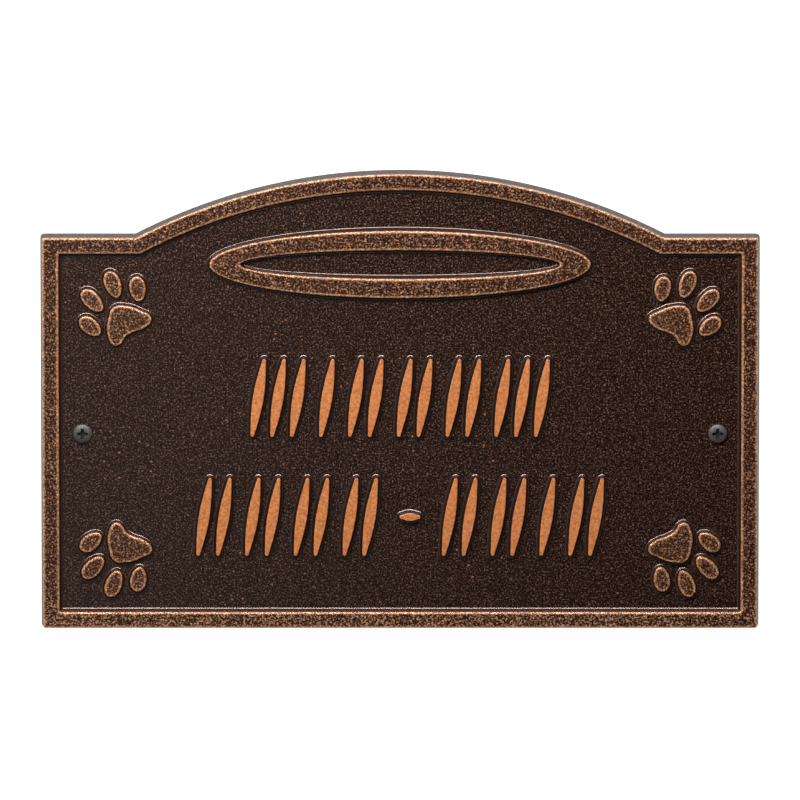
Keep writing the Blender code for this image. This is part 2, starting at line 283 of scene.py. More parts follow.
def border_rings():
    rings = [(plate_outline(BACK_ROUND + SUPPORT, EDGE_CORNER - BACK_ROUND), 0, PLATE_SIDE, COAT)]
    for step in range(BEND_STEPS):
        turn = pi / 2 * step / BEND_STEPS
        inset = BACK_ROUND * (1 - sin(turn))
        outline = plate_outline(inset, EDGE_CORNER - inset)
        rings.append((outline, BACK_ROUND * (1 - cos(turn)), PLATE_SIDE, COAT))
    for z in (BACK_ROUND, FOOT_LAND):
        rings.append((plate_outline(0, EDGE_CORNER), z, PLATE_SIDE, COAT))
    rim_foot_z = TOP_Z - RIM_RADIUS * (1 - cos(RIM_ANGLE))
    share = 1 - SUPPORT / (rim_foot_z - FOOT_LAND)
    below_rim = plate_outline(EDGE_DRAFT * share, EDGE_CORNER - EDGE_DRAFT * share)
    rings.append((below_rim, rim_foot_z - SUPPORT, PLATE_SIDE, COAT))
    for step in range(BEND_STEPS + 1):
        turn = RIM_ANGLE * (1 - step / BEND_STEPS)
        inset = EDGE_DRAFT + RIM_RADIUS * (sin(RIM_ANGLE) - sin(turn))
        outline = plate_outline(inset, EDGE_CORNER - inset)
        z = TOP_Z - RIM_RADIUS * (1 - cos(turn))
        rings.append((outline, z, RIM_RADIUS * (RIM_ANGLE - turn), RUBBED))
    outer_top = rings[-1][2]
    inner_edge = EDGE_DRAFT + BORDER_WIDTH
    inner_mouth = inner_edge + BORDER_SECTION[-1][0]
    rings.append((plate_outline(inset + SUPPORT, TOP_CORNER), TOP_Z, outer_top + SUPPORT, RUBBED))
    middle = (inset + inner_mouth) / 2
    along = outer_top + middle - inset
    rings.append((plate_outline(middle, MIDDLE_CORNER), TOP_Z, along, RUBBED))
    for number, (out, up, along) in enumerate(reversed(BORDER_SECTION)):
        corner = max(SMALLEST_CORNER, INNER_CORNER - number * CORNER_STEP)
        finish = RUBBED if number <= BEND_STEPS + 2 else COAT
        rings.append((plate_outline(inner_edge + out, corner), FIELD_Z + up, along, finish))
    return rings


border = skin("border", border_rings(), False)
print("border skin", len(border.data.polygons), "faces")

# %% [markdown]
# The halo is a flat ring between two ellipses. Each ellipse carries the common section, outward
# on the outer one and inward on the inner one, so the ring is one strip whose two ends both
# come down to the field.

# %% The halo
HALO_Y = APEX_Y - 39.55 * MM
HALO_LENGTH = 161.4 * MM
HALO_HEIGHT = 28.9 * MM
HALO_BAND_AT_ENDS = 13.0 * MM
HALO_BAND_AT_MIDDLE = 8.3 * MM
HALO_STEPS = 300
# More than any rim's reach, so that the middle of the band gets the face's finish
BAND_MIDDLE = 4 * MM


def ellipse(half_length, half_height):
    turns = [2 * pi * i / HALO_STEPS for i in range(HALO_STEPS)]
    return [(half_length * cos(t), HALO_Y + half_height * sin(t)) for t in turns]


def halo_rings():
    rings = []
    length, height = HALO_LENGTH / 2, HALO_HEIGHT / 2
    for number, (out, up, along) in enumerate(HALO_SECTION):
        finish = COAT if number <= BEND_STEPS + 1 else RUBBED
        rings.append((ellipse(length + out, height + out), FIELD_Z + up, along, finish))
    middle_length = length - HALO_BAND_AT_ENDS / 2
    middle_height = height - HALO_BAND_AT_MIDDLE / 2
    rings.append((ellipse(middle_length, middle_height), TOP_Z, BAND_MIDDLE, RUBBED))
    length -= HALO_BAND_AT_ENDS
    height -= HALO_BAND_AT_MIDDLE
    for number, (out, up, along) in enumerate(reversed(HALO_SECTION)):
        finish = RUBBED if number <= BEND_STEPS + 2 else COAT
        rings.append((ellipse(length - out, height - out), FIELD_Z + up, along, finish))
    return rings


halo = skin("halo", halo_rings(), False)
print("halo skin", len(halo.data.polygons), "faces")

# %% [markdown]
# A form with one outline, such as a toe or a stroke, carries the section all round and ends in
# a flat face. One more ring inside the face lets the finish tell its middle from its edge.


# %% A raised form with a flat face
def stamped(name, outline, section, inner, finish):
    """outline is the rim's outer edge, and inner how far inside it the last ring lies."""
    rings = []
    for number, (out, up, along) in enumerate(section):
        part = COAT if number <= BEND_STEPS + 1 else finish
        rings.append((grown(outline, out), FIELD_Z + up, along, part))
    out, up, along = section[-1]
    rings.append((grown(outline, -inner), FIELD_Z + up, along + inner + out, finish))
    return skin(name, rings, True)


# %% [markdown]
# A paw print is a pad and four toes. The toes are eggs, a little narrower towards the pad, and
# fan out unevenly. The pad's two lobes are not alike either. It is drawn like a hand-cut
# pattern, with a smooth curve through twelve knots, so it starts as a Bezier circle that is
# subdivided, laid on its knots and converted.

# %% The pad's curve
PAD_WIDTH = 20.4 * MM
PAD_LENGTH = 14.2 * MM
PAW_DRAFT = 0.9 * MM
# The pad's foot from its front round the near side, as shares of half its width and of its length
PAD_SHAPE = (
    (0.0, 0.63),
    (0.50, 0.43),
    (0.83, 0.10),
    (1.01, -0.21),
    (0.86, -0.37),
    (0.42, -0.405),
    (0.0, -0.325),
    (-0.27, -0.30),
    (-0.66, -0.385),
    (-0.94, -0.295),
    (-0.90, 0.08),
    (-0.52, 0.42),
)


def pad_outline():
    half_width = PAD_WIDTH / 2 + PAW_DRAFT
    length = PAD_LENGTH + 2 * PAW_DRAFT
    knots = [(half_width * x, length * y) for x, y in PAD_SHAPE]
    bpy.ops.object.select_all(action="DESELECT")
    bpy.ops.curve.primitive_bezier_circle_add(radius=START_RADIUS)
    drawn = bpy.context.object
    bpy.ops.object.mode_set(mode="EDIT")
    bpy.ops.curve.select_all(action="SELECT")
    bpy.ops.curve.subdivide(number_cuts=len(knots) // 4 - 1)
    bpy.ops.object.mode_set(mode="OBJECT")
    spline = drawn.data.splines[0]
    for knot, (x, y) in zip(spline.bezier_points, knots):
        knot.co = (x, y, 0)
        knot.handle_left_type = knot.handle_right_type = "AUTO"
    drawn.data.resolution_u = 8
    bpy.ops.object.convert(target="MESH")
    outline = [(vert.co.x, vert.co.y) for vert in drawn.data.vertices]
    bpy.data.objects.remove(drawn)
    return grown(outline, -PAW_DRAFT)


PAD = pad_outline()
pad_span = max(x for x, y in PAD) - min(x for x, y in PAD)
print("pad outline", len(PAD), "points,", round(pad_span / MM, 1), "mm wide")

# %% The toes
TOE_WIDTH = 6.8 * MM
TOE_TAPER = 0.12
TOE_STEPS = 56
INNER_TOE_LENGTH = 12.0 * MM
INNER_TOE_ACROSS = 5.6 * MM
OUTER_TOE_LENGTH = 10.8 * MM
OUTER_TOE_ACROSS = 12.9 * MM
# The near side's toe comes first in each pair
INNER_TOES_AHEAD = (17.2 * MM, 16.8 * MM)
OUTER_TOES_AHEAD = (9.45 * MM, 8.5 * MM)
INNER_TOE_TURNS = (-17.0, 7.0)
OUTER_TOE_TURNS = (-28.0, 14.0)


def toe_outline(across, ahead, length, turn):
    points = []
    for i in range(TOE_STEPS):
        t = 2 * pi * i / TOE_STEPS
        half_width = TOE_WIDTH / 2 * (1 + TOE_TAPER * cos(t))
        points.append((half_width * sin(t), length / 2 * cos(t)))
    return moved(turned(points, turn), across, ahead)


PRINT = [("pad", PAD)]
for sign, ahead, turn in zip((1, -1), INNER_TOES_AHEAD, INNER_TOE_TURNS):
    toe = toe_outline(sign * INNER_TOE_ACROSS, ahead, INNER_TOE_LENGTH, turn)
    PRINT.append((f"inner_toe_{sign}", toe))
for sign, ahead, turn in zip((1, -1), OUTER_TOES_AHEAD, OUTER_TOE_TURNS):
    toe = toe_outline(sign * OUTER_TOE_ACROSS, ahead, OUTER_TOE_LENGTH, turn)
    PRINT.append((f"outer_toe_{sign}", toe))

# %% Four prints, each pointing to its own corner
PAW_FROM_SIDE = 36.5 * MM
PAW_FROM_SHOULDER = 38.1 * MM
PAW_FROM_FOOT = 36.9 * MM
PAW_LEAN = 36.5
PAW_INNER_RING = 1.3 * MM
relief = []
for side in (-1, 1):
    for end in (-1, 1):
        paw_x = side * (WIDTH / 2 - PAW_FROM_SIDE)
        paw_y = SHOULDER_Y - PAW_FROM_SHOULDER if end > 0 else FOOT_Y + PAW_FROM_FOOT
        for form, outline in PRINT:
            leaning = turned(outline, PAW_LEAN)
            placed = [(paw_x - side * x, paw_y + end * y) for x, y in leaning]
            name = f"paw_{side}_{end}_{form}"
            relief.append(stamped(name, placed, PAW_SECTION, PAW_INNER_RING, RUBBED))
print("paw forms", len(relief))

# %% [markdown]
# The inscription's place holds rows of leaning spindle strokes, which are no letters or
# figures. A stroke has two bowed sides between small round tips. A short level stroke stands in
# the middle of the lower row.

# %% The strokes
STROKE_LENGTH = 34.0 * MM
STROKE_WIDTH = 4.6 * MM
STROKE_TIP_WIDTH = 1.6 * MM
STROKE_PITCH = 8.4 * MM
STROKE_LEAN = 9.0
DASH_LENGTH = 9.0 * MM
DASH_WIDTH = 3.4 * MM
GROUP_GAP = 7.7 * MM
DASH_GAP = 10.1 * MM
UPPER_ROW_Y = FOOT_Y + 100.0 * MM
LOWER_ROW_Y = FOOT_Y + 48.7 * MM
DASH = 0
UPPER_ROW = (3, 1, 2, 2, 2, 3)
LOWER_ROW = (2, 2, 2, 2, DASH, 2, 2, 1, 2)
BOW_STEPS = 14
TIP_STEPS = 7
STROKE_INNER_RING = 0.6 * MM


def stroke_outline(length, width):
    tip = STROKE_TIP_WIDTH / 2
    reach = length / 2 - tip
    right = []
    for i in range(1, BOW_STEPS):
        share = i / BOW_STEPS
        right.append((tip + (width / 2 - tip) * sin(pi * share), reach * (2 * share - 1)))
    slope = degrees(atan2((width / 2 - tip) * pi, 2 * reach))
    right += arc(0, reach, tip, slope, 90, TIP_STEPS)
    half = [(x, -y) for x, y in reversed(arc(0, reach, tip, slope, 90, TIP_STEPS))] + right
    return half + [(-x, y) for x, y in reversed(half[1:-1])]


def row_outlines(row, row_y):
    lengths = [DASH_LENGTH if n == DASH else (n - 1) * STROKE_PITCH + STROKE_WIDTH for n in row]
    gaps = [DASH_GAP if DASH in pair else GROUP_GAP for pair in zip(row, row[1:])]
    start = -(sum(lengths) + sum(gaps)) / 2
    outlines = []
    for count, length, gap in zip(row, lengths, gaps + [0]):
        if count == DASH:
            dash = turned(stroke_outline(DASH_LENGTH, DASH_WIDTH), 90)
            outlines.append(moved(dash, start + length / 2, row_y))
        for i in range(count):
            stroke = turned(stroke_outline(STROKE_LENGTH, STROKE_WIDTH), -STROKE_LEAN)
            outlines.append(moved(stroke, start + STROKE_WIDTH / 2 + i * STROKE_PITCH, row_y))
        start += length + gap
    return outlines


strokes = row_outlines(UPPER_ROW, UPPER_ROW_Y) + row_outlines(LOWER_ROW, LOWER_ROW_Y)
for number, outline in enumerate(strokes, 1):
    name = f"stroke_{number:02d}"
    relief.append(stamped(name, outline, STROKE_SECTION, STROKE_INNER_RING, PAINTED))
print("strokes", len(strokes))

# %% [markdown]
# The screws go through plain holes, which are drawn as open tubes from the field to the back.

# %% The screw holes
HOLE_RADIUS = 2.5 * MM
HOLE_STEPS = 48
screw_low, screw_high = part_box("right_screw")
SCREW_X = (screw_low.x + screw_high.x) / 2
SCREW_Y = (screw_low.y + screw_high.y) / 2
MOUTH_ROUND = 0.15 * MM
for side in (-1, 1):
    rings = []
    for radius, z in (
        (HOLE_RADIUS + 2 * MOUTH_ROUND, FIELD_Z),
        (HOLE_RADIUS + MOUTH_ROUND, FIELD_Z),
        (HOLE_RADIUS, FIELD_Z - MOUTH_ROUND),
        (HOLE_RADIUS, FIELD_Z - 2 * MOUTH_ROUND),
        (HOLE_RADIUS, 2 * MOUTH_ROUND),
        (HOLE_RADIUS, MOUTH_ROUND),
        (HOLE_RADIUS + MOUTH_ROUND, 0),
        (HOLE_RADIUS + 2 * MOUTH_ROUND, 0),
    ):
        hole = arc(side * SCREW_X, SCREW_Y, radius, 0, 360, HOLE_STEPS)[:-1]
        rings.append((hole, z, OPEN_FIELD, COAT))
    relief.append(skin(f"hole_{side}", rings, False))
print("screws at x =", round(SCREW_X / MM, 2), "mm")

# %% [markdown]
# All skins are joined, and the flats between them are filled: the patch of field inside the
# halo, the rest of the field, and the back. Fill takes any number of edge loops at one height
# and puts faces between them, leaving the holes open. The field stays truly flat, so its long
# triangles don't show.

# %% Join the skins and fill the flats
FLAT_TOLERANCE = 0.01 * MM
MERGE_DISTANCE = 0.001 * MM
HALO_MARGIN = 3 * MM
bpy.ops.object.select_all(action="DESELECT")
for piece in [halo, border] + relief:
    piece.select_set(True)
bpy.context.view_layer.objects.active = border
bpy.ops.object.join()
casting = bpy.context.object
casting.name = casting.data.name = "cast_plaque"
bpy.ops.object.mode_set(mode="EDIT")


def fill_flat(z, inside):
    """Fills between the open edges at height z whose middles pass the test."""
    shape = bmesh.from_edit_mesh(casting.data)
    for face in shape.faces:
        face.select_set(False)
    chosen = 0
    for edge in shape.edges:
        middle = (edge.verts[0].co + edge.verts[1].co) / 2
        pick = edge.is_boundary and abs(middle.z - z) < FLAT_TOLERANCE and inside(middle)
        edge.select_set(pick)
        chosen += pick
    bmesh.update_edit_mesh(casting.data)
    bpy.ops.mesh.fill(use_beauty=True)
    shape = bmesh.from_edit_mesh(casting.data)
    for face in shape.faces:
        if face.select:
            face.material_index = COAT
    bmesh.update_edit_mesh(casting.data)
    print("filled at", round(z / MM, 1), "mm between", chosen, "edges")


def in_halo(point):
    across = point.x / (HALO_LENGTH / 2 - HALO_MARGIN)
    along = (point.y - HALO_Y) / (HALO_HEIGHT / 2 - HALO_MARGIN)
    return across**2 + along**2 < 1


bpy.ops.mesh.select_mode(type="EDGE")
fill_flat(FIELD_Z, in_halo)
fill_flat(FIELD_Z, lambda point: True)
fill_flat(0, lambda point: True)

# %% Close the casting and check it
bpy.ops.mesh.select_all(action="SELECT")
bpy.ops.mesh.remove_doubles(threshold=MERGE_DISTANCE)
bpy.ops.mesh.normals_make_consistent(inside=False)
bpy.ops.mesh.quads_convert_to_tris(quad_method="BEAUTY", ngon_method="BEAUTY")
bpy.ops.object.mode_set(mode="OBJECT")
bpy.ops.object.select_all(action="DESELECT")
casting.select_set(True)
bpy.ops.object.shade_smooth()
check = bmesh.new()
check.from_mesh(casting.data)
open_edges = sum(not edge.is_manifold for edge in check.edges)
print("casting", len(casting.data.polygons), "triangles, open edges", open_edges)
print("volume", round(check.calc_volume() / MM**3), "mm3")
check.free()

# %% [markdown]
# A pan head screw is turned from steel wire: the head is a low dome with a small upright edge,
# and a cross recess with leaning walls is punched into it. The head grows from a cylinder by
# inset and move, as on a lathe, the shank is extruded from its underside, and the recess is a
# Boolean cut that is then applied.

# %% The screw's finish, the painted shade in its recess, and its sizes
steel = bpy.data.materials.new("dull_plated_steel")
recess_painted_shade_steel = bpy.data.materials.new("shaded_recess_steel")
HEAD_RADIUS = 8.1 * MM / 2
SHANK_RADIUS = 4.2 * MM / 2
HEAD_UNDER_Z = FIELD_Z + 0.3 * MM
HEAD_TOP_Z = screw_high.z
HEAD_EDGE = 0.9 * MM
SHANK_END_Z = screw_low.z
HEAD_STEPS = 64
DOME_STEPS = 10
# The dome's last ring ends as a dot this share of the head's radius
DOT_SHARE = 0.02
SHANK_END_INSET = 0.3 * MM
CROSS_SPAN = 4.9 * MM
CROSS_SLOT = 1.15 * MM
CROSS_DEPTH = 1.2 * MM
# Where the slots meet, as a share of a slot's width, and the punch's taper
CROSS_ROOT = 0.72
PUNCH_FLOOR = 0.72
PUNCH_SPREAD = 1.5
PUNCH_REACH = 1.5
FACING = 0.9


# %% Pick faces by their place
def pick_faces(shape, test):
    """Leaves selected just the faces that pass the test."""
    for face in shape.faces:
        face.select_set(False)
    for face in shape.faces:
        if test(face):
            face.select_set(True)


# %% One screw
def make_screw():
    bpy.ops.object.select_all(action="DESELECT")
    bpy.ops.mesh.primitive_cylinder_add(
        vertices=HEAD_STEPS,
        radius=HEAD_RADIUS,
        depth=HEAD_EDGE,
        end_fill_type="NGON",
        location=(0, 0, HEAD_UNDER_Z + HEAD_EDGE / 2),
    )
    screw = bpy.context.object
    bpy.ops.object.transform_apply(location=True)
    bpy.ops.object.mode_set(mode="EDIT")
    bpy.ops.mesh.select_mode(type="FACE")
    dome = HEAD_TOP_Z - HEAD_UNDER_Z - HEAD_EDGE
    shape = bmesh.from_edit_mesh(screw.data)
    pick_faces(shape, lambda face: face.normal.z > FACING)
    for step in range(1, DOME_STEPS):
        start, end = pi / 2 * (step - 1) / DOME_STEPS, pi / 2 * step / DOME_STEPS
        inset = HEAD_RADIUS * (cos(start) - cos(end))
        climb = dome * (sin(end) - sin(start))
        bpy.ops.mesh.inset(thickness=inset, depth=climb, use_even_offset=True)
    lift = dome * (1 - sin(end))
    bpy.ops.mesh.extrude_region_move(TRANSFORM_OT_translate={"value": (0, 0, lift)})
    dot = DOT_SHARE / cos(end)
    bpy.ops.transform.resize(value=(dot, dot, 1), center_override=(0, 0, 0))
    shape = bmesh.from_edit_mesh(screw.data)
    pick_faces(shape, lambda face: face.normal.z < -FACING)
    bpy.ops.mesh.inset(thickness=HEAD_RADIUS - SHANK_RADIUS, use_even_offset=True)
    drop = SHANK_END_Z - HEAD_UNDER_Z
    bpy.ops.mesh.extrude_region_move(TRANSFORM_OT_translate={"value": (0, 0, drop)})
    bpy.ops.mesh.inset(thickness=SHANK_END_INSET, depth=0.0)
    bpy.ops.object.mode_set(mode="OBJECT")
    return screw


# %% The cross punch
def make_punch():
    bpy.ops.object.select_all(action="DESELECT")
    bpy.ops.mesh.primitive_circle_add(vertices=12, radius=CROSS_SPAN / 2, fill_type="NGON")
    punch = bpy.context.object
    reach, half, root = CROSS_SPAN / 2, CROSS_SLOT / 2, CROSS_SLOT * CROSS_ROOT
    corners = []
    for quarter in range(4):
        corners += turned([(reach, -half), (reach, half), (root, root)], 90 * quarter)
    bpy.ops.object.mode_set(mode="EDIT")
    bpy.ops.mesh.select_mode(type="FACE")
    bpy.ops.mesh.select_all(action="SELECT")
    shape = bmesh.from_edit_mesh(punch.data)
    for vert, (x, y) in zip(shape.verts, corners):
        vert.co = (x, y, HEAD_TOP_Z - CROSS_DEPTH)
    bmesh.update_edit_mesh(punch.data)
    bpy.ops.transform.resize(value=(PUNCH_FLOOR, PUNCH_FLOOR, 1), center_override=(0, 0, 0))
    lift = CROSS_DEPTH * PUNCH_REACH
    bpy.ops.mesh.extrude_region_move(TRANSFORM_OT_translate={"value": (0, 0, lift)})
    bpy.ops.transform.resize(value=(PUNCH_SPREAD, PUNCH_SPREAD, 1), center_override=(0, 0, 0))
    bpy.ops.mesh.select_all(action="SELECT")
    bpy.ops.mesh.normals_make_consistent(inside=False)
    bpy.ops.object.mode_set(mode="OBJECT")
    return punch


# %% Two finished screws
STRUCK_EDGE = 0.08 * MM
STRUCK_ANGLE = radians(38)
SMOOTH_ANGLE = radians(40)
screws = []
for name, x in (("left_pan_screw", -SCREW_X), ("right_pan_screw", SCREW_X)):
    screw = make_screw()
    punch = make_punch()
    for piece in (screw, punch):
        piece.data.materials.append(steel)
        piece.data.materials.append(recess_painted_shade_steel)
    # The punch's faces become the recess, which gets the darker steel as painted shade
    for face in punch.data.polygons:
        face.material_index = 1
    bpy.context.view_layer.objects.active = screw
    cut = screw.modifiers.new("Cross recess", "BOOLEAN")
    cut.object = punch
    cut.solver = "EXACT"
    cut.material_mode = "INDEX"
    bpy.ops.object.modifier_apply(modifier=cut.name)
    bpy.data.objects.remove(punch)
    edge = screw.modifiers.new("Struck edges", "BEVEL")
    edge.width = STRUCK_EDGE
    edge.segments = 2
    edge.limit_method = "ANGLE"
    edge.angle_limit = STRUCK_ANGLE
    bpy.ops.object.modifier_apply(modifier=edge.name)
    screw.data.transform(screw.matrix_world)
    screw.matrix_world.identity()
    for vert in screw.data.vertices:
        vert.co += Vector((x, SCREW_Y, 0))
    bpy.ops.object.select_all(action="DESELECT")
    screw.select_set(True)
    bpy.ops.object.shade_smooth_by_angle(angle=SMOOTH_ANGLE)
    screw.name = screw.data.name = name
    screws.append(screw)
    print(name, len(screw.data.polygons), "faces")

# %% [markdown]
# Finishes. Colours are written as sRGB hex codes, as a paint chart gives them, and one function
# turns them to the linear values that shaders use. One more adds a node with its settings, its
# links and, on a colour ramp, its stops. Patterns read Object coordinates in metres, so a
# feature of a real size in millimetres becomes a scale of one over that size.

# %% Colour, size and node helpers
SOFT = {"interpolation_type": "SMOOTHSTEP"}
MULTIPLY = {"operation": "MULTIPLY"}
MULTIPLY_ADD = {"operation": "MULTIPLY_ADD"}
COLOURS = {"data_type": "RGBA"}


def linear(code):
    shares = [int(code[i : i + 2], 16) / 255 for i in (0, 2, 4)]
    return (*[((s + 0.055) / 1.055) ** 2.4 if s > 0.04045 else s / 12.92 for s in shares], 1)


def per(size):
    """The scale that gives a pattern features of this size."""
    return 1 / size


def add(tree, kind, inputs, stops=(), **settings):
    """Adds a node; inputs are values or another node's outputs, by the input's name or number."""
    made = tree.nodes.new("ShaderNode" + kind)
    for name, value in settings.items():
        setattr(made, name, value)
    for name, value in inputs.items():
        if isinstance(value, bpy.types.NodeSocket):
            tree.links.new(value, made.inputs[name])
        else:
            made.inputs[name].default_value = value
    for position, code in stops[1:-1]:
        made.color_ramp.elements.new(position)
    for number, (position, code) in enumerate(stops):
        made.color_ramp.elements[number].position = position
        made.color_ramp.elements[number].color = linear(code)
    return made


def node_tree(finish):
    """The finish's own empty node tree."""
    finish.use_nodes = True
    finish.node_tree.nodes.clear()
    return finish.node_tree


print("mid grey, hex 808080, is", round(linear("808080")[0], 3), "in linear light")

# %% [markdown]
# The coat is a baked bronze enamel over a sand-cast face. Up close it is a very dark brown with
# a fine grain under a millimetre across, whose bump lets single grains catch the lamp. The
# grain's lightest stop is a pale grey that is painted glint over the grain's own tone. Now and
# then comes a fleck of the copper that was rubbed over the relief. Beside each raised form
# the wet enamel ran together and dried clear and smooth over a thin copper wash, so a lamp
# leaves a clean, slightly warm line there. It ran off the wall above, which stays dark. The
# plate's side was only sprayed thinly and is duller. All three finishes lie over this coat, so
# its nodes come from one function.

# %% The shared enamel coat
GRAIN = 0.7 * MM
# Grain tones of the enamel; the pale grey top stop is partly painted glint
GRIT_WITH_PAINTED_GLINT = ((0.37, "0A0200"), (0.50, "1C0D06"), (0.59, "31211A"), (0.68, "5E493E"))
COPPER_WASH = "4A3027"
WASH_METAL = 0.8
FLECK = "8A5740"
FLECK_PITCH = 4.5 * MM
PATCH = 26 * MM
# Places on the section, in the rim attribute's millimetres
POOL_STARTS, POOL_FULL = -4.6, -2.8
WASH_STARTS, WASH_FULL = -3.3, -2.7


def enamel_coat(tree):
    """The coat's colour and grain, its place, its rim attribute, and 1 where it has pooled."""
    place = add(tree, "TexCoord", {}).outputs["Object"]
    rim = add(tree, "Attribute", {}, attribute_name="rim_mm").outputs["Fac"]
    pooled = {"Value": rim, 1: POOL_STARTS, 2: POOL_FULL}
    pooled = add(tree, "MapRange", pooled, **SOFT).outputs[0]
    washed = {"Value": rim, 1: WASH_STARTS, 2: WASH_FULL}
    washed = add(tree, "MapRange", washed, **SOFT).outputs[0]
    grain = {"Vector": place, "Scale": per(GRAIN), "Detail": 2.0, "Roughness": 0.6}
    grain = add(tree, "TexNoise", grain).outputs["Fac"]
    patch = {"Vector": place, "Scale": per(PATCH), "Detail": 2.0}
    patch = add(tree, "TexNoise", patch).outputs["Fac"]
    grit_and_glint = add(tree, "ValToRGB", {"Fac": grain}, GRIT_WITH_PAINTED_GLINT).outputs["Color"]
    body = {0: washed, 6: grit_and_glint, 7: linear(COPPER_WASH)}
    body = add(tree, "Mix", body, **COLOURS).outputs[2]
    spot = add(tree, "TexVoronoi", {"Vector": place, "Scale": per(FLECK_PITCH)}).outputs["Distance"]
    small = add(tree, "MapRange", {"Value": spot, 1: 0.12, 2: 0.05}).outputs[0]
    rare = add(tree, "MapRange", {"Value": patch, 1: 0.42, 2: 0.62}).outputs[0]
    shown = add(tree, "Math", {0: small, 1: rare}, **MULTIPLY).outputs[0]
    colour = add(tree, "Mix", {0: shown, 6: body, 7: linear(FLECK)}, **COLOURS).outputs[2]
    return colour, grain, place, rim, pooled


# %% The shader that ends each finish
LACQUER_ROUGHNESS = 0.22
LACQUER_IOR = 1.65


def surface(tree, colour, metallic, roughness, height, depth, strength=1.0, lacquer=0.0):
    """The shader under the finish's colour and bump, with a share of clear lacquer over both."""
    bump = {"Height": height, "Distance": depth, "Strength": strength}
    normal = add(tree, "Bump", bump).outputs["Normal"]
    look = {"Base Color": colour, "Metallic": metallic, "Roughness": roughness, "Normal": normal}
    over = {"Coat Weight": lacquer, "Coat Roughness": LACQUER_ROUGHNESS, "Coat IOR": LACQUER_IOR}
    shader = add(tree, "BsdfPrincipled", {**look, **over, "Coat Normal": normal})
    add(tree, "OutputMaterial", {"Surface": shader.outputs[0]})


# %% Bronze enamel on the field, the side and the back
GRAIN_DEPTH = 0.13 * MM
POOLED_STRENGTH = 0.15
FIELD_ROUGHNESS = 0.16
SIDE_ROUGHNESS = 0.6
POOLED_ROUGHNESS = 0.3
tree = node_tree(finishes[COAT])
colour, grain, place, rim, pooled = enamel_coat(tree)
strength = add(tree, "MapRange", {"Value": pooled, 3: 1.0, 4: POOLED_STRENGTH}).outputs[0]
sprayed = {"Value": rim, 1: -8.0, 2: -6.0, 3: SIDE_ROUGHNESS, 4: FIELD_ROUGHNESS}
sprayed = add(tree, "MapRange", sprayed).outputs[0]
roughness = add(tree, "Mix", {0: pooled, 2: sprayed, 3: POOLED_ROUGHNESS}).outputs[0]
metal = add(tree, "MapRange", {"Value": pooled, 4: WASH_METAL}).outputs[0]
below_wall = add(tree, "MapRange", {"Value": rim, 1: -1.5, 2: -1.9}, **SOFT).outputs[0]
clear = add(tree, "Math", {0: pooled, 1: below_wall}, **MULTIPLY).outputs[0]
surface(tree, colour, metal, roughness, grain, GRAIN_DEPTH, strength, clear)
print(finishes[COAT].name, len(tree.nodes), "nodes")

# %% [markdown]
# On the border, the halo and the paws, copper paste was rubbed over the coat. It holds on the
# rounded rims and on the high spots of the pebbly face, and the pits stay dark. The pebbles are
# noise under a millimetre across, read through two colour ramps: a dark one for the face and a
# coppery one for the rim. The face ramp's palest, whitish stop is painted glint on the highest
# spots. The rim attribute blends from one to the other and takes the copper away from the wall
# below. The foot's border was rubbed harder than the rest, so there the noise is stretched and
# raised before its ramp reads it.

# %% Copper rubbed over the relief
PEBBLE = 0.75 * MM
PEBBLE_DEPTH = 0.20 * MM
PITS = ((0.39, "180400"), (0.45, "261006"), (0.50, "341D11"))
# Rubbed copper on the high spots; the palest, whitish stop is partly painted glint
HIGH_SPOTS_WITH_PAINTED_GLINT = ((0.55, "4E3120"), (0.60, "775139"), (0.66, "B08466"))
RIM = ((0.36, "603D28"), (0.50, "976846"), (0.64, "CE9C74"))
RUBBED_METAL = 0.22
RUBBED_ROUGHNESS = 0.25
RUBBED_LACQUER = 0.12
FOOT_RUB_STARTS = FOOT_Y + 12 * MM
FOOT_RUB_FULL = FOOT_Y + 8 * MM
FOOT_RUB_STRETCH = 0.35
FOOT_RUB_RAISE = -0.157
tree = node_tree(finishes[RUBBED])
colour, grain, place, rim, pooled = enamel_coat(tree)
pebble = {"Vector": place, "Scale": per(PEBBLE), "Detail": 3.0, "Roughness": 0.65}
pebble = add(tree, "TexNoise", pebble).outputs["Fac"]
up_plate = add(tree, "SeparateXYZ", {"Vector": place}).outputs["Y"]
at_foot = {"Value": up_plate, 1: FOOT_RUB_STARTS, 2: FOOT_RUB_FULL}
at_foot = add(tree, "MapRange", at_foot, **SOFT).outputs[0]
harder = {0: pebble, 1: FOOT_RUB_STRETCH, 2: FOOT_RUB_RAISE}
harder = add(tree, "Math", harder, **MULTIPLY_ADD).outputs[0]
rubbed = add(tree, "Math", {0: harder, 1: at_foot, 2: pebble}, **MULTIPLY_ADD).outputs[0]
face_copper = add(tree, "ValToRGB", {"Fac": rubbed}, PITS + HIGH_SPOTS_WITH_PAINTED_GLINT).outputs["Color"]
rim_copper = add(tree, "ValToRGB", {"Fac": pebble}, RIM).outputs["Color"]
on_rim = add(tree, "MapRange", {"Value": rim, 1: 1.6, 2: 0.7}, **SOFT).outputs[0]
paste = add(tree, "Mix", {0: on_rim, 6: face_copper, 7: rim_copper}, **COLOURS).outputs[2]
copper = add(tree, "MapRange", {"Value": rim, 1: -0.12, 2: 0.08}, **SOFT).outputs[0]
mixed = add(tree, "Mix", {0: copper, 6: colour, 7: paste}, **COLOURS).outputs[2]
metal = add(tree, "MapRange", {"Value": copper, 3: WASH_METAL, 4: RUBBED_METAL}).outputs[0]
surface(tree, mixed, metal, RUBBED_ROUGHNESS, pebble, PEBBLE_DEPTH, 1.0, RUBBED_LACQUER)
print(finishes[RUBBED].name, len(tree.nodes), "nodes")

# %% [markdown]
# The strokes' faces are painted in a clean, satin copper enamel after the casting is rubbed.
# The paint ends at the rim, and the walls below keep the dark coat.

